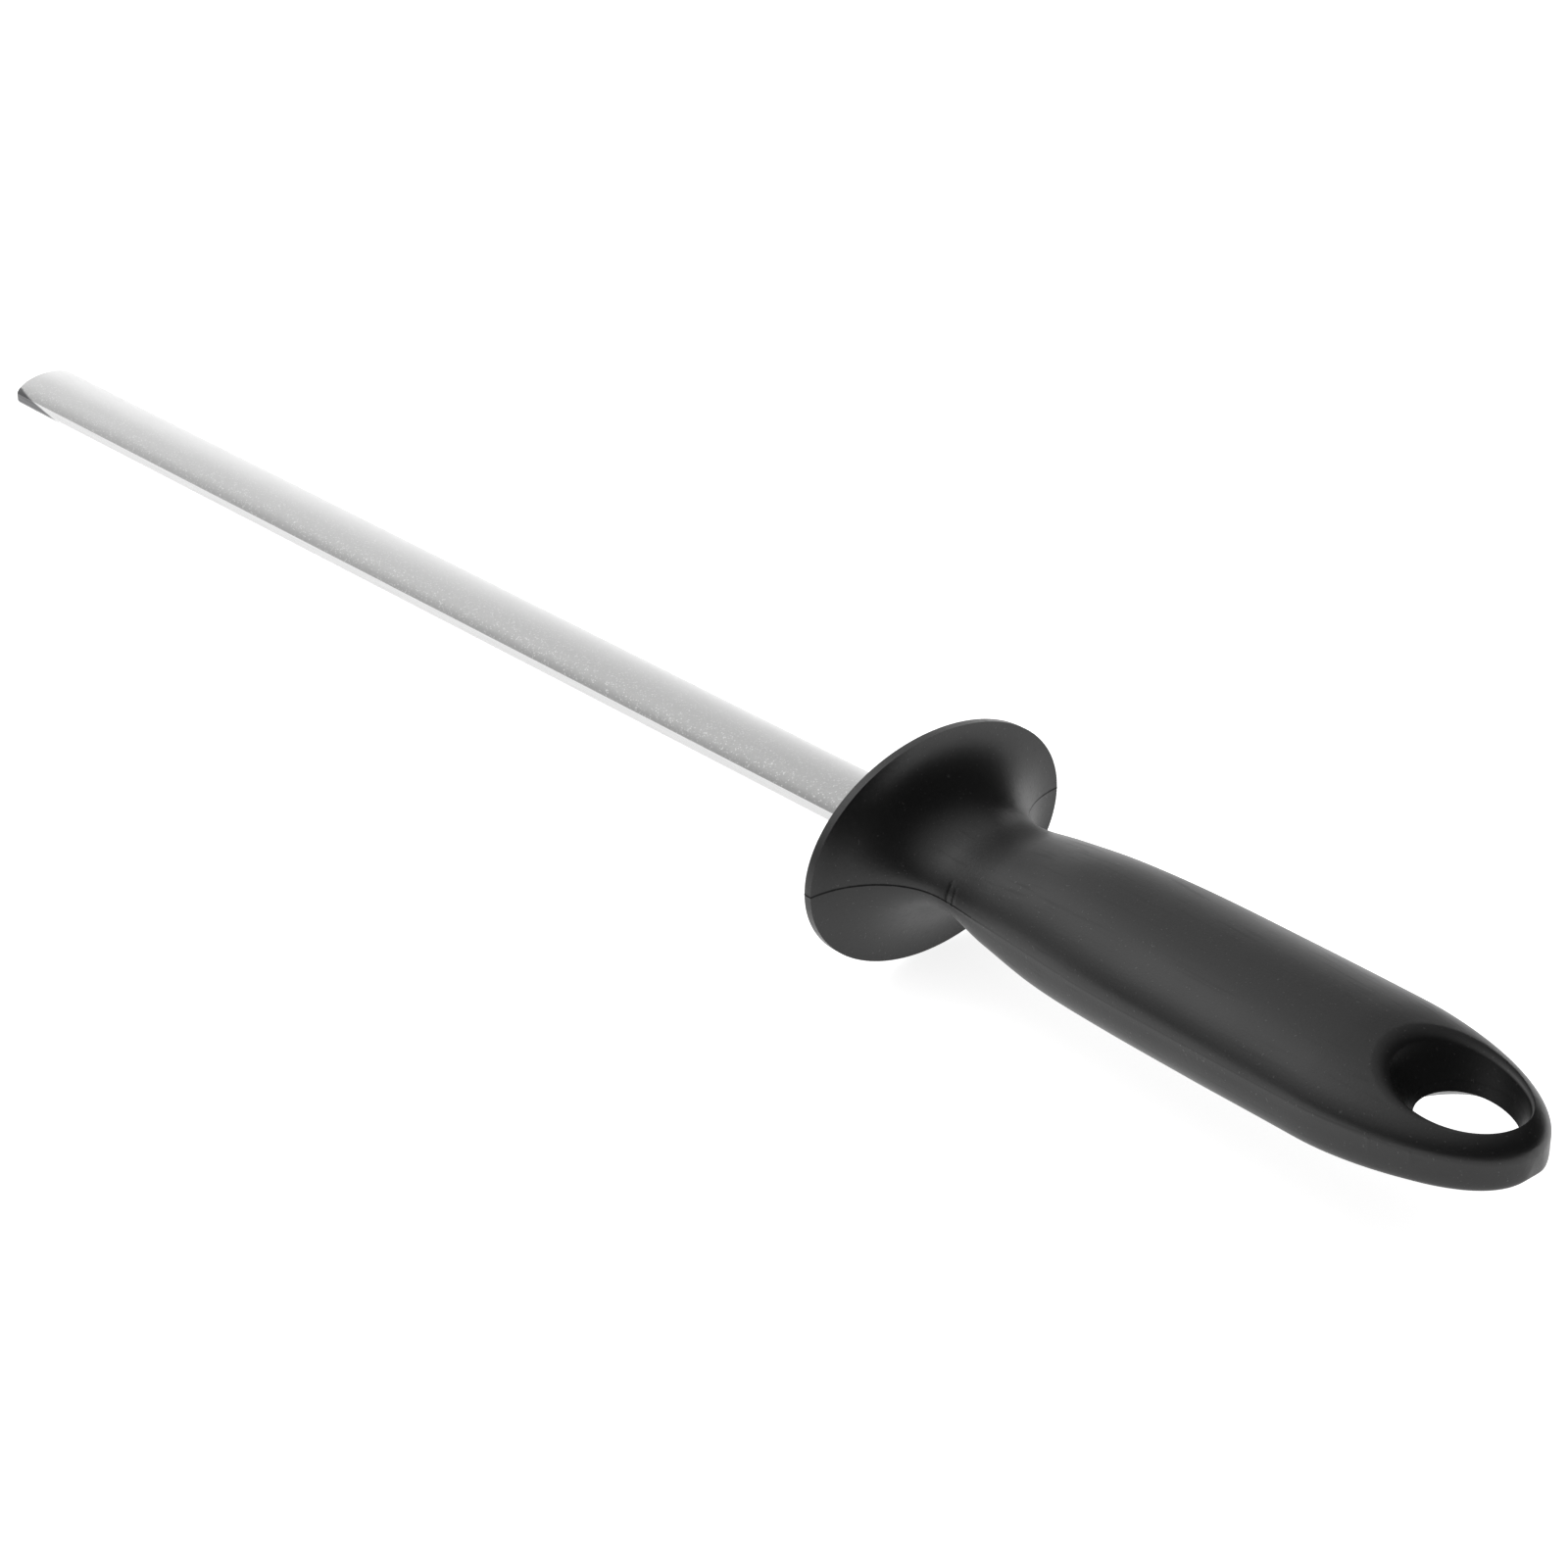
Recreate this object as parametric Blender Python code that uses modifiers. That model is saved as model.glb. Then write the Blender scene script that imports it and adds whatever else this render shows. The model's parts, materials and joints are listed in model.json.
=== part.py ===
"""Knife sharpening steel, lying on its guard and the tip of its rod.

Two pieces: the oval steel rod with its tang, and the handle moulded in one with the guard.
They are modelled along the steel's own axis, X: the rod towards -X and the handle towards +X.
X = 0 is the rear edge of the guard's rim. An empty then tips them into the resting pose.
"""
import math

import bmesh
import bpy
from mathutils import Matrix, Vector

# Rod
ROD_REACH = 0.2300              # guard's rear rim edge to the tip
ROD_HALF_WIDTH = 0.0062
ROD_HALF_THICKNESS = 0.0030
ROD_FLAT = 0.00604              # half width over the narrow flats ground along both edges
ROD_SIDES = 66                  # not a multiple of 4, so a narrow facet lies lowest, not a corner
ROD_END_ROUND = 0.0008
SHANK_DEPTH = 0.0120            # oval section carried on inside the neck
TANG_END = 0.0760
TANG_HALF_WIDTH = 0.0046
TANG_HALF_THICKNESS = 0.0022
TANG_NOTCH_RADIUS = 0.0020
TANG_NOTCHES = (0.030, 0.046, 0.062)

# Guard
GUARD_HALF_WIDTH = 0.0240
GUARD_HALF_HEIGHT = 0.0170
GUARD_RIM = 0.0015
RIM_ROUND = 0.0004
FLARE_LENGTH = 0.0116           # rim to the end of the concave fillet

# Handle: distance from the guard, half width, height above and height below the mould's
# parting plane, and the superellipse power of the section's lower half, where 2 is an oval
HANDLE_STATIONS = (
    (0.0116, 0.0110, 0.0062, 0.0056, 2.0),
    (0.0200, 0.0118, 0.0073, 0.0062, 3.0),
    (0.0300, 0.0128, 0.0083, 0.0076, 3.4),
    (0.0420, 0.0140, 0.0081, 0.0077, 3.4),
    (0.0600, 0.0145, 0.0074, 0.0080, 3.4),
    (0.0760, 0.0147, 0.0066, 0.0075, 4.0),
    (0.0860, 0.0147, 0.0059, 0.0062, 6.0),
    (0.0940, 0.0147, 0.0055, 0.0053, 7.0),
    (0.1060, 0.0147, 0.0050, 0.0047, 7.0),
)
HANDLE_END = 0.1060
BUTT_START = 0.0780             # the rounded end begins here
BUTT_DROP = 0.0015              # how far the parting plane bends down by the very end
SECTION_SIDES = 58              # so the guard stands on a facet too, and the steel lies still

# Hanging hole, an egg in plan, narrower towards the butt: centre, half length, half width
HOLE_THROAT = (0.0954, 0.0073, 0.0058)
HOLE_UPPER_MOUTH = (0.0926, 0.0109, 0.0099)
HOLE_LOWER_MOUTH = (0.0920, 0.0116, 0.0119)
HOLE_TAPER = 0.12
HOLE_THROAT_DEPTH = 0.0008      # the throat lies this far under the parting plane
HOLE_WALL_OPENING = 0.52        # share of the widening that the sloping wall makes, the rim the rest
HOLE_RIM_DEPTH = 0.0011         # height of the rounding between the upper face and the wall
HOLE_RIM_ANGLE = 76.0           # of a quarter turn: the rounding meets the face at a slight edge
HOLE_OVERRUN = 0.0060
HOLE_SIDES = 48

GAP = 0.0003                    # clearance kept between the rod and the handle around it
OBJECT_NAME = "knife_sharpening_steel"


def clear_scene():
    for item in list(bpy.data.objects):
        bpy.data.objects.remove(item, do_unlink=True)


def new_collection(name):
    collection = bpy.data.collections.new(name)
    bpy.context.scene.collection.children.link(collection)
    return collection


def make_material(name, colour, roughness, metallic):
    material = bpy.data.materials.new(name)
    material.use_nodes = True
    shader = material.node_tree.nodes["Principled BSDF"]
    shader.inputs["Base Color"].default_value = (*colour, 1.0)
    shader.inputs["Roughness"].default_value = roughness
    shader.inputs["Metallic"].default_value = metallic
    material.diffuse_color = (*colour, 1.0)
    return material


def object_from_bmesh(name, bm, collection):
    bmesh.ops.recalc_face_normals(bm, faces=bm.faces)
    mesh = bpy.data.meshes.new(name)
    bm.to_mesh(mesh)
    bm.free()
    item = bpy.data.objects.new(name, mesh)
    collection.objects.link(item)
    return item


def make_cutter(item):
    item.hide_render = True
    item.display_type = "WIRE"
    return item


def add_boolean(item, other, operation):
    modifier = item.modifiers.new(f"{operation.lower()}_{other.name}", "BOOLEAN")
    modifier.operation = operation
    modifier.object = other
    modifier.solver = "EXACT"


def smooth_by_angle(item, degrees):
    item.data.shade_smooth()
    item.data.set_sharp_from_angle(angle=math.radians(degrees))


def oval_bar(name, start, end, half_width, half_thickness, collection):
    """A round primitive laid along X and scaled to an oval, as thick as asked over its facets."""
    bm = bmesh.new()
    bmesh.ops.create_cone(
        bm, cap_ends=True, segments=ROD_SIDES, radius1=1.0, radius2=1.0, depth=1.0
    )
    along_x = Matrix.Rotation(math.radians(90.0), 4, "Y")
    over_facets = half_thickness / math.cos(math.pi / ROD_SIDES)
    size = Matrix.Diagonal((end - start, half_width, over_facets, 1.0))
    place = Matrix.Translation(((start + end) / 2, 0.0, 0.0))
    bm.transform(place @ size @ along_x)
    return object_from_bmesh(name, bm, collection)


def flat_bar(name, start, end, half_width, half_thickness, collection):
    bm = bmesh.new()
    bmesh.ops.create_cube(bm, size=1.0)
    size = Matrix.Diagonal((end - start, 2 * half_width, 2 * half_thickness, 1.0))
    place = Matrix.Translation(((start + end) / 2, 0.0, 0.0))
    bm.transform(place @ size)
    return object_from_bmesh(name, bm, collection)


def upright_pin(name, x, y, radius, collection):
    bm = bmesh.new()
    bmesh.ops.create_cone(
        bm, cap_ends=True, segments=20, radius1=radius, radius2=radius, depth=0.02
    )
    bm.transform(Matrix.Translation((x, y, 0.0)))
    return make_cutter(object_from_bmesh(name, bm, collection))


def make_rod(parts, cutters):
    """One bar: the oval rod, then a narrower tang with notches that lock it in the moulding."""
    rod = oval_bar(
        "rod", -ROD_REACH, SHANK_DEPTH, ROD_HALF_WIDTH, ROD_HALF_THICKNESS, parts
    )
    bevel = rod.modifiers.new("rounded_ends", "BEVEL")
    bevel.width = ROD_END_ROUND
    bevel.segments = 3
    bevel.limit_method = "ANGLE"
    bevel.angle_limit = math.radians(60.0)
    slab = flat_bar("between_flats", -0.25, 0.02, ROD_FLAT, 0.01, cutters)
    add_boolean(rod, make_cutter(slab), "INTERSECT")
    tang = flat_bar(
        "tang_blank", SHANK_DEPTH - 0.004, TANG_END, TANG_HALF_WIDTH, TANG_HALF_THICKNESS, cutters
    )
    add_boolean(rod, make_cutter(tang), "UNION")
    for index, x in enumerate(TANG_NOTCHES, start=1):
        for side, label in ((1, "far"), (-1, "near")):
            notch = upright_pin(
                f"notch_{index}_{label}", x, side * TANG_HALF_WIDTH, TANG_NOTCH_RADIUS, cutters
            )
            add_boolean(rod, notch, "DIFFERENCE")
    smooth_by_angle(rod, 30.0)
    rod.data.materials.append(make_material("diamond_coated_steel", (0.62, 0.62, 0.61), 0.42, 0.9))
    return rod


def station_value(x, column):
    """Smooth value of one column of HANDLE_STATIONS at x, level where the fillet meets it."""
    rows = HANDLE_STATIONS
    last = len(rows) - 1
    if x <= rows[0][0]:
        return rows[0][column]
    if x >= rows[last][0]:
        return rows[last][column]
    i = max(k for k in range(last) if rows[k][0] <= x)
    before = rows[max(i - 1, 0)]
    after = rows[min(i + 2, last)]
    low, high = rows[i], rows[i + 1]
    span = high[0] - low[0]
    slope_low = 0.0 if i == 0 else (high[column] - before[column]) / (high[0] - before[0])
    slope_high = (after[column] - low[column]) / (after[0] - low[0])
    t = (x - low[0]) / span
    return (
        (2 * t**3 - 3 * t**2 + 1) * low[column]
        + (t**3 - 2 * t**2 + t) * span * slope_low
        + (3 * t**2 - 2 * t**3) * high[column]
        + (t**3 - t**2) * span * slope_high
    )


def section_at(x):
    """Half width, height above, height below and squareness of the moulding's section at x."""
    if x < FLARE_LENGTH:
        across = 1.0 - x / FLARE_LENGTH
        share = 1.0 - math.sqrt(max(0.0, 1.0 - across * across))
        neck = HANDLE_STATIONS[0]
        width = neck[1] + (GUARD_HALF_WIDTH - neck[1]) * share
        above = neck[2] + (GUARD_HALF_HEIGHT - neck[2]) * share
        below = neck[3] + (GUARD_HALF_HEIGHT - neck[3]) * share
        return width, above, below, 2.0
    width, above, below, squareness = (station_value(x, column) for column in (1, 2, 3, 4))
    if x > BUTT_START:
        along = min(1.0, (x - BUTT_START) / (HANDLE_END - BUTT_START))
        width *= math.sqrt(1.0 - along**2)
        above *= (1.0 - along**3) ** (1.0 / 3.0)
        below *= (1.0 - along**6) ** (1.0 / 6.0)
    return width, above, below, squareness


def butt_drop(x):
    """How far below the rod's axis the parting plane lies."""
    along = max(0.0, (x - BUTT_START) / (HANDLE_END - BUTT_START))
    return BUTT_DROP * along**1.5


def section_ring(x, section):
    """One closed loop, as high over its top and bottom facets as the section asks."""
    width, above, below, squareness = section
    over_facets = 1.0 / math.cos(math.pi / SECTION_SIDES)
    ring = []
    for k in range(SECTION_SIDES):
        angle = 2.0 * math.pi * k / SECTION_SIDES
        c, s = math.cos(angle), math.sin(angle)
        power = 2.0 if s >= 0.0 else squareness
        height = (above if s >= 0.0 else below) * over_facets
        y = width * math.copysign(abs(c) ** (2.0 / power), c)
        z = height * math.copysign(abs(s) ** (2.0 / power), s)
        ring.append(Vector((x, y, z - butt_drop(x))))
    return ring


def handle_rings():
    """Rings of the moulding from the guard's front face to just short of the butt."""
    rings = []
    rim = (GUARD_HALF_WIDTH, GUARD_HALF_HEIGHT)
    for degrees in (0, 30, 60, 90):
        a = math.radians(degrees)
        inset = RIM_ROUND * (1.0 - math.sin(a))
        x = -GUARD_RIM + RIM_ROUND * (1.0 - math.cos(a))
        rings.append(section_ring(x, (rim[0] - inset, rim[1] - inset, rim[1] - inset, 2.0)))
    flare_steps = 14
    for k in range(flare_steps + 1):
        a = math.radians(90.0) * k / flare_steps
        x = FLARE_LENGTH * (1.0 - math.cos(a))
        rings.append(section_ring(x, section_at(x)))
    grip_steps = 22
    for k in range(1, grip_steps + 1):
        x = FLARE_LENGTH + (BUTT_START - FLARE_LENGTH) * k / grip_steps
        rings.append(section_ring(x, section_at(x)))
    butt_steps = 14
    for k in range(1, butt_steps):
        a = math.radians(90.0) * k / butt_steps
        x = BUTT_START + (HANDLE_END - BUTT_START) * math.sin(a)
        rings.append(section_ring(x, section_at(x)))
    return rings


def butt_point():
    return Vector((HANDLE_END, 0.0, -butt_drop(HANDLE_END)))


def loft(name, rings, end_point, collection):
    """Skin a row of rings, with a flat first cap and a fan to a point at the far end."""
    bm = bmesh.new()
    rows = [[bm.verts.new(point) for point in ring] for ring in rings]
    sides = len(rows[0])
    for near, far in zip(rows, rows[1:]):
        for k in range(sides):
            n = (k + 1) % sides
            bm.faces.new((near[k], near[n], far[n], far[k]))
    bm.faces.new(rows[0])
    tip = bm.verts.new(end_point)
    for k in range(sides):
        bm.faces.new((rows[-1][k], rows[-1][(k + 1) % sides], tip))
    return object_from_bmesh(name, bm, collection)


def face_height(x, y, upper):
    """Height of the handle's upper or lower face over a point of the parting plane."""
    width, above, below, squareness = section_at(x)
    power = 2.0 if upper else squareness
    height = above if upper else -below
    across = min(1.0, abs(y) / width)
    return height * (1.0 - across**power) ** (1.0 / power)


def hole_ring(mouth, opening, height_at):
    """One loop of the hole, part of the way from its throat out to a mouth."""
    centre, half_length, half_width = (
        near + (far - near) * opening for near, far in zip(HOLE_THROAT, mouth)
    )
    ring = []
    for k in range(HOLE_SIDES):
        angle = 2.0 * math.pi * k / HOLE_SIDES
        c, s = math.cos(angle), math.sin(angle)
        x = centre + half_length * c
        y = half_width * s * (1.0 - HOLE_TAPER * c)
        ring.append(Vector((x, y, height_at(x, y) - butt_drop(x))))
    return ring


def throat_ring():
    return hole_ring(HOLE_THROAT, 0.0, lambda x, y: -HOLE_THROAT_DEPTH)


def upper_hole_rings():
    """Loops from the top of the sloping wall, round the rim and on past the upper face."""
    rings = []
    full = math.radians(HOLE_RIM_ANGLE)
    just_past = 0.0001
    steps = 6
    for k in range(steps + 1):
        a = full * k / steps
        around = (1.0 - math.cos(a)) / (1.0 - math.cos(full))
        opening = HOLE_WALL_OPENING + (1.0 - HOLE_WALL_OPENING) * around
        below_face = HOLE_RIM_DEPTH * (1.0 - math.sin(a) / math.sin(full)) - just_past
        height = lambda x, y: face_height(x, y, True) - below_face
        rings.append(hole_ring(HOLE_UPPER_MOUTH, opening, height))
    rings.append([Vector((p.x, p.y, p.z + HOLE_OVERRUN)) for p in rings[-1]])
    return rings


def lower_hole_rings():
    """Loops from past the lower face to the lower mouth."""
    past_face = 1.02
    mouth = hole_ring(HOLE_LOWER_MOUTH, 1.0, lambda x, y: past_face * face_height(x, y, False))
    return [[Vector((p.x, p.y, p.z - HOLE_OVERRUN)) for p in mouth], mouth]


def make_hole_cutter(collection):
    """A plug, narrowest at the throat, sloping up to a rounded rim and coned to the lower face."""
    rings = lower_hole_rings() + [throat_ring()] + upper_hole_rings()
    bm = bmesh.new()
    rows = [[bm.verts.new(point) for point in ring] for ring in rings]
    for near, far in zip(rows, rows[1:]):
        for k in range(HOLE_SIDES):
            n = (k + 1) % HOLE_SIDES
            bm.faces.new((near[k], near[n], far[n], far[k]))
    for row in (rows[0], rows[-1]):
        middle = bm.verts.new(sum((v.co for v in row), Vector()) / len(row))
        for k in range(HOLE_SIDES):
            bm.faces.new((row[k], row[(k + 1) % HOLE_SIDES], middle))
    return make_cutter(object_from_bmesh("hanging_hole", bm, collection))


def make_handle(parts, cutters):
    """Handle and guard in one moulding, with the rod's socket and the hanging hole cut from it."""
    handle = loft("handle_with_guard", handle_rings(), butt_point(), parts)
    shank_socket = oval_bar(
        "shank_socket", -0.004, SHANK_DEPTH + GAP,
        ROD_HALF_WIDTH + GAP, ROD_HALF_THICKNESS + GAP, cutters,
    )
    tang_socket = flat_bar(
        "tang_socket", SHANK_DEPTH - 0.002, TANG_END + GAP,
        TANG_HALF_WIDTH + GAP, TANG_HALF_THICKNESS + GAP, cutters,
    )
    add_boolean(handle, make_cutter(shank_socket), "DIFFERENCE")
    add_boolean(handle, make_cutter(tang_socket), "DIFFERENCE")
    add_boolean(handle, make_hole_cutter(cutters), "DIFFERENCE")
    smooth_by_angle(handle, 35.0)
    handle.data.materials.append(make_material("black_plastic", (0.035, 0.035, 0.036), 0.5, 0.0))
    return handle


def resting_pose(items):
    """Tip the steel until the guard's rim and the rod's tip both touch z = 0, then centre it."""
    guard_x = -GUARD_RIM + RIM_ROUND
    rim_low = Vector((guard_x, 0.0, -GUARD_HALF_HEIGHT))
    tip_low = Vector((-ROD_REACH + ROD_END_ROUND, 0.0, -ROD_HALF_THICKNESS))
    drop = math.atan2(tip_low.z - rim_low.z, rim_low.x - tip_low.x)
    tilt = Matrix.Rotation(-drop, 4, "Y")
    low = tilt @ rim_low
    tip = tilt @ Vector((-ROD_REACH, 0.0, ROD_HALF_THICKNESS - ROD_END_ROUND))
    butt = tilt @ butt_point()
    pose = bpy.data.objects.new("resting_pose", None)
    bpy.context.scene.collection.objects.link(pose)
    pose.matrix_world = Matrix.Translation((-(tip.x + butt.x) / 2, 0.0, -low.z)) @ tilt
    for item in items:
        item.parent = pose
    return pose


def main():
    clear_scene()
    parts = new_collection(OBJECT_NAME)
    cutters = new_collection("cutters")
    make_rod(parts, cutters)
    make_handle(parts, cutters)
    resting_pose(list(parts.objects) + list(cutters.objects))


main()
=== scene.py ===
"""Looks of the knife sharpening steel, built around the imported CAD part.

Two pieces stand for the two CAD nodes: the coated rod and the handle moulded in one with its
guard. Both are lofted in the steel's own axes, X along the rod towards the butt, X = 0 at the
rear edge of the guard's rim, and placed by the matrix that the record's guard mount gives.
"""
import json
import math

import bmesh
import bpy
from mathutils import Matrix, Vector


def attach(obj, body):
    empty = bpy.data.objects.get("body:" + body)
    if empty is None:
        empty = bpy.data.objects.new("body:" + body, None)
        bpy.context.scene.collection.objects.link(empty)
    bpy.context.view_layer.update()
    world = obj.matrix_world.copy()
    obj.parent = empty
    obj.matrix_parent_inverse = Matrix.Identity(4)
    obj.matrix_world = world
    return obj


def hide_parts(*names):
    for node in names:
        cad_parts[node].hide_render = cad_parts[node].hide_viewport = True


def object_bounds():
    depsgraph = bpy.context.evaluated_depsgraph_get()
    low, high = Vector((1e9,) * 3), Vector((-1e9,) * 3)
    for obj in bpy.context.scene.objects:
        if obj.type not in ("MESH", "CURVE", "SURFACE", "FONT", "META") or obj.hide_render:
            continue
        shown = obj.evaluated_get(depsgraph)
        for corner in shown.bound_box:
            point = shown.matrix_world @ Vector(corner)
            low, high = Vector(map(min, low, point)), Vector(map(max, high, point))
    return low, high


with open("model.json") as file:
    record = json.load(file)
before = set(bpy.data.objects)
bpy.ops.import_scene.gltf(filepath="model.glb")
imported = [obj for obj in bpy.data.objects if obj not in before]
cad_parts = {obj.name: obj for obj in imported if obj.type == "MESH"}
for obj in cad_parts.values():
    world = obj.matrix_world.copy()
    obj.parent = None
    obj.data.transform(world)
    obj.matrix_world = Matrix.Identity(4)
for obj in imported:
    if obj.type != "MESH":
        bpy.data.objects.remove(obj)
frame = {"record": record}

CAD_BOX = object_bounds()

# Rod
ROD_REACH = 0.2300
ROD_HALF_WIDTH = 0.0062
ROD_HALF_THICKNESS = 0.0030
ROD_FLAT = 0.00604              # half width over the narrow flats ground along both edges
ROD_END_ROUND = 0.0008
ROD_HALF_SIDES = 72             # points over each broad face, from flat to flat
ROD_RINGS = 60
END_ROUND_STEPS = 10
SHANK_DEPTH = 0.0120            # how far the full oval reaches behind the rear edge of the rim
TANG_END = 0.0760
TANG_HALF_WIDTH = 0.0046
TANG_HALF_THICKNESS = 0.0022
TANG_OVERLAP = 0.0040           # the tang starts this far inside the oval bar
TANG_NOTCH_RADIUS = 0.0020
TANG_NOTCHES = (0.030, 0.046, 0.062)
NOTCH_SIDES = 32

# Guard
GUARD_HALF_WIDTH = 0.0240
GUARD_HALF_HEIGHT = 0.0170
GUARD_RIM = 0.0015              # thickness of the rim
RIM_ROUND = 0.0004
RIM_ROUND_STEPS = 8
FLARE_LENGTH = 0.0116           # of the fillet from the rim into the neck
FLARE_STEPS = 64

# Handle: distance from the guard, half width, height above and height below the mould's
# parting plane, and the superellipse power of the section's lower half, where 2 is an oval
HANDLE_STATIONS = (
    (0.0116, 0.0110, 0.0062, 0.0056, 2.0),
    (0.0200, 0.0118, 0.0073, 0.0062, 3.0),
    (0.0300, 0.0128, 0.0083, 0.0076, 3.4),
    (0.0420, 0.0140, 0.0081, 0.0077, 3.4),
    (0.0600, 0.0145, 0.0074, 0.0080, 3.4),
    (0.0760, 0.0147, 0.0066, 0.0075, 4.0),
    (0.0860, 0.0147, 0.0059, 0.0062, 6.0),
    (0.0940, 0.0147, 0.0055, 0.0053, 7.0),
    (0.1060, 0.0147, 0.0050, 0.0047, 7.0),
)
HANDLE_END = 0.1060
BUTT_START = 0.0780
BUTT_DROP = 0.0015              # of the parting plane, from where the butt starts to its end
BUTT_ANGLE = 83.7               # of the quarter turn round the butt; a fan closes the rest
GRIP_RINGS = 130
BUTT_RINGS = 68
HALF_SIDES = 84                 # points along each half of a section, above or below the parting

# Hanging hole, an egg in plan, narrower towards the butt: centre, half length, half width
HOLE_THROAT = (0.0954, 0.0073, 0.0058)
HOLE_UPPER_MOUTH = (0.0926, 0.0109, 0.0099)
HOLE_LOWER_MOUTH = (0.0920, 0.0116, 0.0119)
HOLE_TAPER = 0.12               # share by which the half width shrinks and grows end to end
HOLE_THROAT_DEPTH = 0.0008      # below the parting plane
HOLE_WALL_OPENING = 0.52        # share of the widening that the sloping wall makes, the rim the rest
HOLE_RIM_DEPTH = 0.0011         # height of the rounding between the upper face and the wall
HOLE_RIM_TURN = (8.0, 84.0)     # degrees of a quarter turn, from the wall over the rim
HOLE_OVERRUN = 0.0060           # how far the cutting plug reaches past both faces
FACE_CLEARANCE = 0.00003        # the rim's last loop lies this far above the upper face
PAST_LOWER_FACE = 1.02          # share of the lower face's depth at which its mouth is cut
HOLE_SIDES = 160
HOLE_RIM_STEPS = 20

# Marks that the mould leaves: the parting ridge, and short seams of the mould's inserts, each
# with its distance from the guard and its reach from and to a height over the parting plane
RIDGE_HEIGHT = 0.00006
RIDGE_WORN_SHARE = 0.35         # of that height is left along the grip, which hands have rubbed
RIDGE_WEAR = (0.016, 0.026)     # distances from the guard between which the ridge wears down
RIDGE_HALF_WIDTH = 0.00014
SEAM_HEIGHT = 0.00009
SEAM_HALF_WIDTH = 0.00020
SEAM_CLEARANCE = 0.00028        # no ring of the plain grip lies nearer to a seam than this
SEAMS = (
    (0.0134, 0.0000, 0.0028),
    (0.0146, 0.0000, 0.0022),
    (0.0903, -0.0021, 0.0000),
    (0.0955, -0.0017, 0.0000),
)

SOCKET_GAP = 0.00006            # the plastic grips the rod, so the visible line is very fine
SOCKET_START = -0.0040          # in front of the guard, so that the cut runs out of its face
TANG_SOCKET_OVERLAP = 0.0020    # the tang's socket starts this far inside the oval one

QUARTER_TURN = math.radians(90.0)
ROD_CREASE = 18.0               # degrees between two faces from which their edge looks sharp
HANDLE_CREASE = 38.0

# Camera
CAMERA_AIM = (0.0642, -0.0319, 0.0391)
CAMERA_DISTANCE = 0.52
CAMERA_AZIMUTH = 46.95          # 0 looks along +Y, 90 along -X
CAMERA_ELEVATION = 30.37
CAMERA_ROLL = 2.34
CAMERA_LENS = 90.3
SENSOR_WIDTH = 36.0

# Floor, with a painted glow brightest around the steel and less far out, which washes out the
# steel's shadow
FLOOR_SIZE = 8.0
FLOOR_GAP = 0.0002              # below the steel's lowest point
FLOOR_GLOW = 0.85
FAR_FLOOR_GLOW = 0.35
GLOW_REACH = (0.7, 3.2)         # distances from the middle between which the glow fades

# Light tent: a bright soft side to the left of the steel and above it, dim walls elsewhere
BRIGHT_SIDE = (-0.62, -0.17, 0.77)
BRIGHT_SPREAD = (0.35, 0.95)    # cosines to that side between which the walls brighten
DIM_WALL = 0.07
BRIGHT_WALL = 1.00

# Area lights: name, place, point aimed at, size and power
AREA_LIGHTS = (
    ("left_softbox", (-0.56, -0.17, 0.80), (0.06, 0.0, 0.01), (0.70, 0.70), 1.6),
    ("back_panel", (-0.42, 0.42, 0.14), (-0.06, 0.0, 0.0), (0.60, 0.26), 0.45),
)

OWN_PLACE = "own_place"         # mesh attribute: each point in the steel's own axes


# ---------------------------------------------------------------- meshes

def object_from_bmesh(name, bm):
    bmesh.ops.recalc_face_normals(bm, faces=bm.faces)
    mesh = bpy.data.meshes.new(name)
    bm.to_mesh(mesh)
    bm.free()
    item = bpy.data.objects.new(name, mesh)
    bpy.context.scene.collection.objects.link(item)
    return item


def loft(name, rings, closed_by_points=False, end_point=None):
    """Skin a row of rings. Each end is closed by one flat face, or by a fan to a point."""
    bm = bmesh.new()
    rows = [[bm.verts.new(point) for point in ring] for ring in rings]
    sides = len(rows[0])
    for near, far in zip(rows, rows[1:]):
        for k in range(sides):
            n = (k + 1) % sides
            bm.faces.new((near[k], near[n], far[n], far[k]))
    for row, point in ((rows[0], None), (rows[-1], end_point)):
        if point is None and not closed_by_points:
            bm.faces.new(row)
            continue
        middle = bm.verts.new(point or sum((v.co for v in row), Vector()) / sides)
        for k in range(sides):
            bm.faces.new((row[k], row[(k + 1) % sides], middle))
    return object_from_bmesh(name, bm)


def boolean(item, other, operation):
    """Cut or join with another object, keep the result as item's mesh, and remove the other."""
    modifier = item.modifiers.new(operation, "BOOLEAN")
    modifier.operation = operation
    modifier.object = other
    modifier.solver = "EXACT"
    evaluated = item.evaluated_get(bpy.context.evaluated_depsgraph_get())
    mesh = bpy.data.meshes.new_from_object(evaluated)
    item.modifiers.clear()
    item.data = mesh
    bpy.data.objects.remove(other, do_unlink=True)


def smooth_by_angle(item, degrees):
    item.data.shade_smooth()
    item.data.set_sharp_from_angle(angle=math.radians(degrees))


def spaced(start, end, count):
    return [start + (end - start) * k / count for k in range(count + 1)]


# ---------------------------------------------------------------- rod

def oval_ring(x, grow):
    """The rod's section at x, grown all round: an oval cut flat along both narrow edges."""
    half_width = ROD_HALF_WIDTH + grow
    half_thickness = ROD_HALF_THICKNESS + grow
    start = math.acos((ROD_FLAT + grow) / half_width)
    upper = []
    for a in spaced(start, math.pi - start, ROD_HALF_SIDES):
        upper.append(Vector((x, half_width * math.cos(a), half_thickness * math.sin(a))))
    lower = [Vector((x, -point.y, -point.z)) for point in upper]
    return upper + lower


def oval_bar(name, start, end, grow):
    return loft(name, [oval_ring(x, grow) for x in (start, end)])


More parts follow.
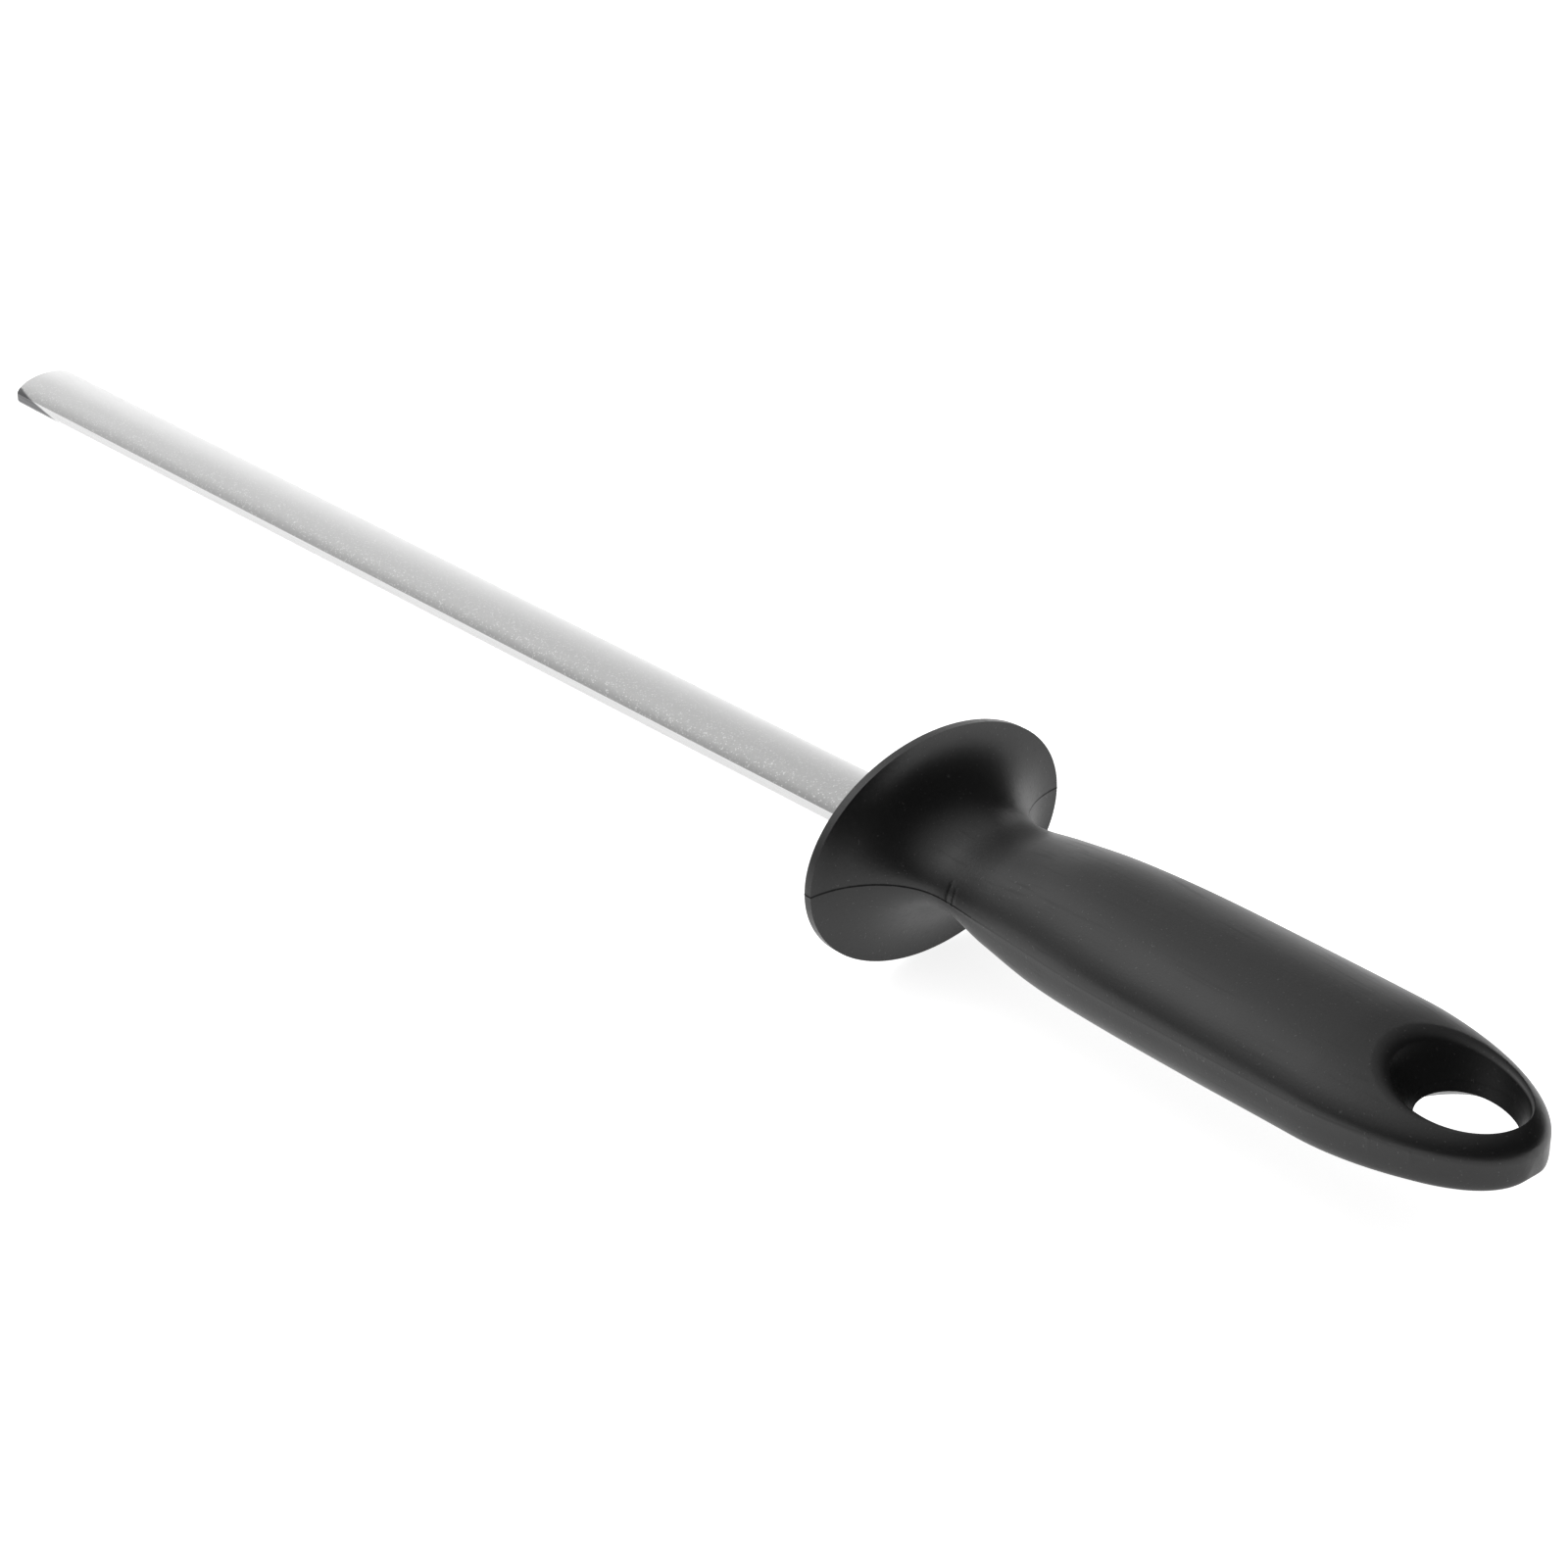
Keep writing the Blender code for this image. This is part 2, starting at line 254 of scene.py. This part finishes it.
def flat_bar(name, start, end, half_width, half_thickness):
    bm = bmesh.new()
    bmesh.ops.create_cube(bm, size=1.0)
    size = Matrix.Diagonal((end - start, 2 * half_width, 2 * half_thickness, 1.0))
    bm.transform(Matrix.Translation(((start + end) / 2, 0.0, 0.0)) @ size)
    return object_from_bmesh(name, bm)


def upright_pin(name, x, y, radius):
    bm = bmesh.new()
    bmesh.ops.create_cone(
        bm, cap_ends=True, segments=NOTCH_SIDES, radius1=radius, radius2=radius, depth=0.02
    )
    bm.transform(Matrix.Translation((x, y, 0.0)))
    return object_from_bmesh(name, bm)


def rod_rings():
    """Rings from the rounded tip to the end of the full oval inside the neck."""
    rings = []
    for a in spaced(0.0, QUARTER_TURN, END_ROUND_STEPS):
        inset = ROD_END_ROUND * (1.0 - math.sin(a))
        x = -ROD_REACH + ROD_END_ROUND * (1.0 - math.cos(a))
        rings.append(oval_ring(x, -inset))
    for x in spaced(-ROD_REACH + ROD_END_ROUND, SHANK_DEPTH, ROD_RINGS)[1:]:
        rings.append(oval_ring(x, 0.0))
    return rings


def make_rod():
    """The coated bar with its notched tang, one piece of steel."""
    rod = loft("coated_rod", rod_rings())
    tang = flat_bar(
        "tang", SHANK_DEPTH - TANG_OVERLAP, TANG_END, TANG_HALF_WIDTH, TANG_HALF_THICKNESS
    )
    boolean(rod, tang, "UNION")
    for x in TANG_NOTCHES:
        for side in (1, -1):
            notch = upright_pin("notch", x, side * TANG_HALF_WIDTH, TANG_NOTCH_RADIUS)
            boolean(rod, notch, "DIFFERENCE")
    smooth_by_angle(rod, ROD_CREASE)
    return rod


# ---------------------------------------------------------------- handle and guard

def station_value(x, column):
    """Smooth value of one column of HANDLE_STATIONS at x, level where the fillet meets it."""
    rows = HANDLE_STATIONS
    last = len(rows) - 1
    if x <= rows[0][0]:
        return rows[0][column]
    if x >= rows[last][0]:
        return rows[last][column]
    i = max(k for k in range(last) if rows[k][0] <= x)
    before = rows[max(i - 1, 0)]
    after = rows[min(i + 2, last)]
    low, high = rows[i], rows[i + 1]
    span = high[0] - low[0]
    slope_low = 0.0 if i == 0 else (high[column] - before[column]) / (high[0] - before[0])
    slope_high = (after[column] - low[column]) / (after[0] - low[0])
    t = (x - low[0]) / span
    return (
        (2 * t**3 - 3 * t**2 + 1) * low[column]
        + (t**3 - 2 * t**2 + t) * span * slope_low
        + (3 * t**2 - 2 * t**3) * high[column]
        + (t**3 - t**2) * span * slope_high
    )


def section_at(x):
    """Half width, height above, height below and squareness of the moulding's section at x."""
    if x < FLARE_LENGTH:
        across = 1.0 - x / FLARE_LENGTH
        share = 1.0 - math.sqrt(max(0.0, 1.0 - across * across))
        neck = HANDLE_STATIONS[0]
        width = neck[1] + (GUARD_HALF_WIDTH - neck[1]) * share
        above = neck[2] + (GUARD_HALF_HEIGHT - neck[2]) * share
        below = neck[3] + (GUARD_HALF_HEIGHT - neck[3]) * share
        return width, above, below, 2.0
    width, above, below, squareness = (station_value(x, column) for column in (1, 2, 3, 4))
    if x > BUTT_START:
        along = min(1.0, (x - BUTT_START) / (HANDLE_END - BUTT_START))
        width *= math.sqrt(1.0 - along**2)
        above *= (1.0 - along**3) ** (1.0 / 3.0)
        below *= (1.0 - along**6) ** (1.0 / 6.0)
    return width, above, below, squareness


def butt_drop(x):
    """How far below the rod's axis the parting plane lies."""
    along = max(0.0, (x - BUTT_START) / (HANDLE_END - BUTT_START))
    return BUTT_DROP * along**1.5


def half_section(width, height, power):
    """Points (y, z) of half a section, from +width over the height to -width, without its ends."""
    edge = width * (1.0 - (RIDGE_HALF_WIDTH / height) ** power) ** (1.0 / power)
    points = [(edge, RIDGE_HALF_WIDTH)]
    for k in range(1, HALF_SIDES):
        a = math.pi * k / HALF_SIDES
        c, s = math.cos(a), math.sin(a)
        y = width * math.copysign(abs(c) ** (2.0 / power), c)
        points.append((y, height * s ** (2.0 / power)))
    points.append((-edge, RIDGE_HALF_WIDTH))
    return points


def seam_lift(x, z):
    """How far a mould seam stands proud at a point of the side wall."""
    lift = 0.0
    for seam_x, low, high in SEAMS:
        if low <= z <= high:
            lift = max(lift, SEAM_HEIGHT * (1.0 - abs(x - seam_x) / SEAM_HALF_WIDTH))
    return lift


def ridge_height(x):
    """Full height over the guard and the neck, worn down from there to the butt."""
    start, end = RIDGE_WEAR
    worn = min(1.0, max(0.0, (x - start) / (end - start)))
    return RIDGE_HEIGHT * (1.0 + (RIDGE_WORN_SHARE - 1.0) * worn)


def section_ring(x, section):
    """One closed loop of the moulding, with the parting ridge standing proud on both sides."""
    outer, above, below, squareness = section
    width = outer - ridge_height(x)
    upper = [(outer, 0.0)] + half_section(width, above, 2.0)
    lower = [(-outer, 0.0)] + [(-y, -z) for y, z in half_section(width, below, squareness)]
    ring = []
    for y, z in upper + lower:
        lift = math.copysign(seam_lift(x, z), y)
        ring.append(Vector((x, y + lift, z - butt_drop(x))))
    return ring


def grip_stations():
    """Distances of the loops from the neck to the butt, closer together at each mould seam."""
    stations = set(spaced(FLARE_LENGTH, BUTT_START, GRIP_RINGS)[1:])
    for a in spaced(0.0, math.radians(BUTT_ANGLE), BUTT_RINGS)[1:]:
        stations.add(BUTT_START + (HANDLE_END - BUTT_START) * math.sin(a))
    for seam_x, low, high in SEAMS:
        near = {x for x in stations if abs(x - seam_x) < SEAM_CLEARANCE}
        stations -= near
        stations |= {seam_x - SEAM_HALF_WIDTH, seam_x, seam_x + SEAM_HALF_WIDTH}
    return sorted(stations)


def handle_rings():
    rings = []
    for a in spaced(0.0, QUARTER_TURN, RIM_ROUND_STEPS):
        inset = RIM_ROUND * (1.0 - math.sin(a))
        x = -GUARD_RIM + RIM_ROUND * (1.0 - math.cos(a))
        height = GUARD_HALF_HEIGHT - inset
        rings.append(section_ring(x, (GUARD_HALF_WIDTH - inset, height, height, 2.0)))
    for a in spaced(0.0, QUARTER_TURN, FLARE_STEPS):
        x = FLARE_LENGTH * (1.0 - math.cos(a))
        rings.append(section_ring(x, section_at(x)))
    for x in grip_stations():
        rings.append(section_ring(x, section_at(x)))
    return rings


def face_height(x, y, upper):
    """Height of the handle's upper or lower face over a point of the parting plane."""
    width, above, below, squareness = section_at(x)
    power = 2.0 if upper else squareness
    height = above if upper else -below
    across = min(1.0, abs(y) / width)
    return height * (1.0 - across**power) ** (1.0 / power)


def hole_ring(mouth, opening, height_at):
    """One loop of the hole, part of the way from its throat out to a mouth."""
    centre, half_length, half_width = (
        near + (far - near) * opening for near, far in zip(HOLE_THROAT, mouth)
    )
    ring = []
    for k in range(HOLE_SIDES):
        a = 2.0 * math.pi * k / HOLE_SIDES
        c, s = math.cos(a), math.sin(a)
        x = centre + half_length * c
        y = half_width * s * (1.0 - HOLE_TAPER * c)
        ring.append(Vector((x, y, height_at(x, y) - butt_drop(x))))
    return ring


def lower_hole_rings():
    """Loops from past the lower face up to its mouth and on to the throat."""
    past_face = lambda x, y: PAST_LOWER_FACE * face_height(x, y, False)
    mouth = hole_ring(HOLE_LOWER_MOUTH, 1.0, past_face)
    below = [Vector((p.x, p.y, p.z - HOLE_OVERRUN)) for p in mouth]
    return [below, mouth, hole_ring(HOLE_THROAT, 0.0, lambda x, y: -HOLE_THROAT_DEPTH)]


def upper_hole_rings():
    """Loops from the top of the sloping wall, round the rim and on past the upper face."""
    rings = []
    first, last = (math.radians(degrees) for degrees in HOLE_RIM_TURN)
    for a in spaced(first, last, HOLE_RIM_STEPS):
        around = (math.cos(first) - math.cos(a)) / (math.cos(first) - math.cos(last))
        risen = (math.sin(a) - math.sin(first)) / (math.sin(last) - math.sin(first))
        opening = HOLE_WALL_OPENING + (1.0 - HOLE_WALL_OPENING) * around
        below_face = HOLE_RIM_DEPTH * (1.0 - risen) - FACE_CLEARANCE
        height = lambda x, y: face_height(x, y, True) - below_face
        rings.append(hole_ring(HOLE_UPPER_MOUTH, opening, height))
    rings.append([Vector((p.x, p.y, p.z + HOLE_OVERRUN)) for p in rings[-1]])
    return rings


def make_handle():
    """The moulding with the hanging hole through its butt and a socket around the rod."""
    butt_point = Vector((HANDLE_END, 0.0, -butt_drop(HANDLE_END)))
    handle = loft("moulded_handle", handle_rings(), end_point=butt_point)
    plug = lower_hole_rings() + upper_hole_rings()
    boolean(handle, loft("hole_plug", plug, closed_by_points=True), "DIFFERENCE")
    socket = oval_bar("shank_socket", SOCKET_START, SHANK_DEPTH + SOCKET_GAP, SOCKET_GAP)
    boolean(handle, socket, "DIFFERENCE")
    tang_socket = flat_bar(
        "tang_socket", SHANK_DEPTH - TANG_SOCKET_OVERLAP, TANG_END + SOCKET_GAP,
        TANG_HALF_WIDTH + SOCKET_GAP, TANG_HALF_THICKNESS + SOCKET_GAP,
    )
    boolean(handle, tang_socket, "DIFFERENCE")
    smooth_by_angle(handle, HANDLE_CREASE)
    return handle


# ---------------------------------------------------------------- materials

class Nodes:
    """Short calls for building one material's node tree."""

    def __init__(self, name, own_place=True):
        self.material = bpy.data.materials.new(name)
        self.material.use_nodes = True
        self.tree = self.material.node_tree
        self.shader = self.tree.nodes["Principled BSDF"]
        if own_place:
            attribute = self.add("ShaderNodeAttribute", {"attribute_name": OWN_PLACE})
            self.place = attribute.outputs["Vector"]
        else:
            self.place = self.add("ShaderNodeTexCoord").outputs["Object"]

    def add(self, kind, settings=None, **inputs):
        node = self.tree.nodes.new(kind)
        for key, value in (settings or {}).items():
            setattr(node, key, value)
        for key, value in inputs.items():
            self.set(node.inputs[key.replace("_", " ")], value)
        return node

    def set(self, socket, value):
        if isinstance(value, bpy.types.NodeSocket):
            self.tree.links.new(value, socket)
        else:
            socket.default_value = value

    def math(self, operation, a, b=0.0, c=0.0):
        node = self.add("ShaderNodeMath", {"operation": operation})
        for socket, value in zip(node.inputs, (a, b, c)):
            self.set(socket, value)
        return node.outputs[0]

    def noise(self, scale, detail=4.0, stretch=(1.0, 1.0, 1.0)):
        moved = self.add("ShaderNodeMapping", Vector=self.place, Scale=stretch)
        node = self.add("ShaderNodeTexNoise", Vector=moved.outputs[0], Scale=scale, Detail=detail)
        return node.outputs["Fac"]

    def remap(self, value, low, high, new_low, new_high):
        node = self.add(
            "ShaderNodeMapRange", {"interpolation_type": "SMOOTHSTEP"},
            Value=value, From_Min=low, From_Max=high, To_Min=new_low, To_Max=new_high,
        )
        return node.outputs[0]

    def swap(self, share, first, second):
        node = self.add("ShaderNodeMix", {"data_type": "FLOAT"})
        for socket, value in zip(node.inputs[0:1] + node.inputs[2:4], (share, first, second)):
            self.set(socket, value)
        return node.outputs[0]

    def blend(self, share, first, second):
        node = self.add("ShaderNodeMix", {"data_type": "RGBA"})
        self.set(node.inputs["Factor"], share)
        for socket, value in ((node.inputs[6], first), (node.inputs[7], second)):
            self.set(socket, value if isinstance(value, bpy.types.NodeSocket) else (*value, 1.0))
        return node.outputs[2]

    def bump(self, height, distance, strength=1.0, under=None):
        node = self.add("ShaderNodeBump", Height=height, Distance=distance, Strength=strength)
        if under is not None:
            self.set(node.inputs["Normal"], under)
        return node.outputs[0]

    def finish(self, **inputs):
        for key, value in inputs.items():
            self.set(self.shader.inputs[key.replace("_", " ")], value)
        return self.material


def black_plastic():
    """Black moulded plastic: a fine grain, faint flow marks, light scratches and a little dust."""
    n = Nodes("black_plastic")
    smudge = n.noise(38.0, 5.0)
    flow = n.noise(120.0, 3.0, stretch=(0.18, 1.0, 1.0))
    grain = n.noise(2600.0, 3.0)
    scratch = n.noise(1500.0, 2.0, stretch=(0.04, 1.0, 1.0))
    dust = n.remap(n.noise(2300.0, 1.0), 0.70, 0.75, 0.0, 1.0)
    colour = n.blend(smudge, (0.0042, 0.0042, 0.0043), (0.0064, 0.0064, 0.0065))
    colour = n.blend(n.math("MULTIPLY", dust, 0.35), colour, (0.100, 0.100, 0.100))
    rough = n.remap(smudge, 0.3, 0.7, 0.31, 0.39)
    rough = n.math("MULTIPLY_ADD", n.remap(scratch, 0.55, 0.75, 0.0, 1.0), 0.07, rough)
    rough = n.math("MULTIPLY_ADD", flow, 0.04, rough)
    normal = n.bump(grain, 0.00003, 0.50)
    normal = n.bump(scratch, 0.00002, 0.35, normal)
    normal = n.bump(n.noise(210.0, 3.0), 0.00010, 0.25, normal)
    gloss = n.math("MULTIPLY_ADD", parting_grime(n), -0.42, 0.5)
    return n.finish(Base_Color=colour, Roughness=rough, Normal=normal, Specular_IOR_Level=gloss)


def parting_grime(n):
    """1 in the hairline along the parting ridge, over the guard and the neck only."""
    axes = n.add("ShaderNodeSeparateXYZ", Vector=n.place).outputs
    ragged = n.math("MULTIPLY", n.noise(800.0, 3.0), 0.00012)
    off_parting = n.math("ADD", n.math("ABSOLUTE", axes[2]), ragged)
    hairline = n.remap(off_parting, 0.00014, 0.00026, 1.0, 0.0)
    return n.math("MULTIPLY", hairline, n.remap(axes[0], 0.014, 0.022, 1.0, 0.15))


def diamond_coat():
    """Pale plating full of tiny crystals, paled further towards white at glancing angles as a
    painted sheen; bare ground steel on the narrow flats, and bare steel on the tip painted dark as
    painted shade.
    """
    n = Nodes("diamond_coated_steel")
    crystals = n.add("ShaderNodeTexVoronoi", Vector=n.place, Scale=5200.0)
    facet = n.add("ShaderNodeSeparateColor", Color=crystals.outputs["Color"]).outputs[0]
    sparkle = n.remap(facet, 0.86, 0.98, 0.0, 1.0)
    fine = n.noise(3600.0, 4.0)
    cloud = n.noise(60.0, 4.0, stretch=(0.25, 1.0, 1.0))
    # Painted sheen: the colour pales towards white, and the metal share rises, where the surface is
    # seen at a glancing angle
    glancing = n.add("ShaderNodeLayerWeight", Blend=0.5).outputs["Facing"]
    painted_sheen = n.remap(glancing, 0.20, 0.85, 0.0, 1.0)
    colour = n.blend(fine, (0.335, 0.335, 0.335), (0.465, 0.465, 0.46))
    colour = n.blend(n.remap(cloud, 0.35, 0.65, 0.0, 0.25), colour, (0.31, 0.31, 0.31))
    colour = n.blend(painted_sheen, colour, (0.95, 0.95, 0.95))
    colour = n.blend(n.math("MULTIPLY", sparkle, 0.5), colour, (0.85, 0.85, 0.85))
    rough = n.remap(facet, 0.0, 1.0, 0.50, 0.36)
    grit = n.bump(crystals.outputs["Distance"], 0.00004, 0.30)
    grit = n.bump(fine, 0.00003, 0.35, grit)

    axes = n.add("ShaderNodeSeparateXYZ", Vector=n.place).outputs
    ground = ground_flats(n, axes)
    grind = n.noise(3500.0, 3.0, stretch=(0.03, 1.0, 1.0))
    colour = n.blend(ground, colour, n.blend(grind, (0.50, 0.50, 0.50), (0.62, 0.62, 0.62)))
    rough = n.swap(ground, rough, n.remap(grind, 0.3, 0.7, 0.16, 0.26))
    metal = n.swap(ground, n.swap(painted_sheen, 0.35, 0.75), 1.0)
    # Painted shade: the bare tip is coloured far darker than the bare flats, standing in for shade
    # on its end face and on the low side of the narrow edges
    worn = bare_tip_with_painted_shade(n, axes)
    colour = n.blend(worn, colour, n.blend(grind, (0.06, 0.06, 0.062), (0.17, 0.17, 0.175)))
    rough = n.swap(worn, rough, 0.14)
    return n.finish(Base_Color=colour, Metallic=metal, Roughness=rough, Normal=grit)


def ground_flats(n, axes):
    """1 on the narrow flats, where the plating is ground away."""
    ragged = n.math("MULTIPLY", n.noise(900.0, 3.0), 0.00004)
    off_middle = n.math("ADD", n.math("ABSOLUTE", axes[1]), ragged)
    return n.remap(off_middle, ROD_FLAT - 0.00001, ROD_FLAT + 0.00001, 0.0, 1.0)


def bare_tip_with_painted_shade(n, axes):
    """1 where the tip is bare: its end face, and a wedge along the low side of the narrow edges,
    which the coat colours far darker than the bare flats as painted shade.
    """
    ragged = n.math("MULTIPLY", n.noise(700.0, 3.0), 0.0007)
    from_end = n.math("ADD", n.math("ADD", axes[0], ROD_REACH), ragged)
    end_face = n.remap(from_end, 0.0006, 0.0010, 1.0, 0.0)
    slope = n.math("MULTIPLY_ADD", from_end, 0.21, axes[2])
    low_side = n.remap(slope, 0.0017, 0.0021, 1.0, 0.0)
    narrow_edge = n.remap(n.math("ABSOLUTE", axes[1]), 0.0050, 0.0054, 0.0, 1.0)
    return n.math("MAXIMUM", end_face, n.math("MULTIPLY", low_side, narrow_edge))


def pale_floor():
    """White sheet with a painted glow, brightest around the steel, which washes out the steel's
    shadow; no lamp lies under it.
    """
    n = Nodes("pale_floor", own_place=False)
    soft = n.noise(3.0, 3.0)
    colour = n.blend(soft, (0.84, 0.84, 0.84), (0.86, 0.86, 0.86))
    away = n.add("ShaderNodeVectorMath", {"operation": "LENGTH"}, Vector=n.place).outputs["Value"]
    glow = n.remap(away, *GLOW_REACH, FLOOR_GLOW, FAR_FLOOR_GLOW)
    return n.finish(
        Base_Color=colour, Roughness=0.7, Specular_IOR_Level=0.2,
        Emission_Color=(1.0, 1.0, 1.0, 1.0), Emission_Strength=glow,
    )


# ---------------------------------------------------------------- studio

def steel_place():
    """Matrix from the steel's own axes to where it lies, from the mount on the guard's face."""
    mounts = {mount["name"]: mount for mount in frame["record"]["mounts"]}
    face = mounts["guard_front_face"]
    towards_butt = -Vector(face["axis"])
    tilt = Matrix.Rotation(-math.atan2(towards_butt.z, towards_butt.x), 4, "Y")
    at = Vector(face["pos_m"])
    own_point = Vector((-GUARD_RIM, at.y, 0.0))
    return Matrix.Translation(at - tilt @ own_point) @ tilt


def make_floor():
    bpy.ops.mesh.primitive_grid_add(x_subdivisions=4, y_subdivisions=4, size=FLOOR_SIZE)
    floor = bpy.context.object
    floor.name = "floor"
    floor.location.z = CAD_BOX[0][2] - FLOOR_GAP
    floor.data.materials.append(pale_floor())


def area_light(name, place, aim, size, power):
    light = bpy.data.lights.new(name, "AREA")
    light.shape = "RECTANGLE"
    light.size, light.size_y = size
    light.energy = power
    lamp = bpy.data.objects.new(name, light)
    bpy.context.scene.collection.objects.link(lamp)
    lamp.visible_camera = False
    lamp.location = place
    lamp.rotation_euler = (Vector(aim) - Vector(place)).to_track_quat("-Z", "Y").to_euler()


def make_tent():
    """Soft surround whose brightness rises smoothly towards the bright side."""
    world = bpy.data.worlds.new("light_tent")
    bpy.context.scene.world = world
    world.use_nodes = True
    tree = world.node_tree
    direction = tree.nodes.new("ShaderNodeTexCoord")
    facing = tree.nodes.new("ShaderNodeVectorMath")
    facing.operation = "DOT_PRODUCT"
    facing.inputs[1].default_value = Vector(BRIGHT_SIDE).normalized()
    level = tree.nodes.new("ShaderNodeMapRange")
    level.interpolation_type = "SMOOTHSTEP"
    level.inputs["From Min"].default_value = BRIGHT_SPREAD[0]
    level.inputs["From Max"].default_value = BRIGHT_SPREAD[1]
    level.inputs["To Min"].default_value = DIM_WALL
    level.inputs["To Max"].default_value = BRIGHT_WALL
    tree.links.new(direction.outputs["Generated"], facing.inputs[0])
    tree.links.new(facing.outputs["Value"], level.inputs["Value"])
    tree.links.new(level.outputs[0], tree.nodes["Background"].inputs["Strength"])
    tree.nodes["Background"].inputs["Color"].default_value = (1.0, 1.0, 1.0, 1.0)


def make_camera():
    azimuth = math.radians(CAMERA_AZIMUTH)
    elevation = math.radians(CAMERA_ELEVATION)
    looks = Vector((
        -math.sin(azimuth) * math.cos(elevation),
        math.cos(azimuth) * math.cos(elevation),
        -math.sin(elevation),
    ))
    data = bpy.data.cameras.new("camera")
    data.lens = CAMERA_LENS
    data.sensor_width = SENSOR_WIDTH
    data.clip_start = 0.01
    camera = bpy.data.objects.new("camera", data)
    bpy.context.scene.collection.objects.link(camera)
    turn = looks.to_track_quat("-Z", "Y").to_matrix().to_4x4()
    place = Matrix.Translation(Vector(CAMERA_AIM) - looks * CAMERA_DISTANCE)
    camera.matrix_world = place @ turn @ Matrix.Rotation(math.radians(CAMERA_ROLL), 4, "Z")
    bpy.context.scene.camera = camera


def settle(piece, place):
    """Move the mesh to where the steel lies, and keep its own-axes points for the materials."""
    mesh = piece.data
    own = mesh.attributes.new(OWN_PLACE, "FLOAT_VECTOR", "POINT")
    for point, vertex in zip(own.data, mesh.vertices):
        point.vector = vertex.co
    mesh.transform(place)


def build():
    place = steel_place()
    pieces = (
        (make_rod(), "rod", "diamond_coated_steel", diamond_coat()),
        (make_handle(), "handle_with_guard", "black_plastic", black_plastic()),
    )
    for piece, node, slot, material in pieces:
        piece.data.materials.clear()
        piece.data.materials.append(material)
        settle(piece, place)
        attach(piece, "root")
        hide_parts(node)
    make_floor()
    make_tent()
    for name, light_place, aim, size, power in AREA_LIGHTS:
        area_light(name, light_place, aim, size, power)
    make_camera()
    bpy.context.scene.view_settings.view_transform = "Standard"


build()
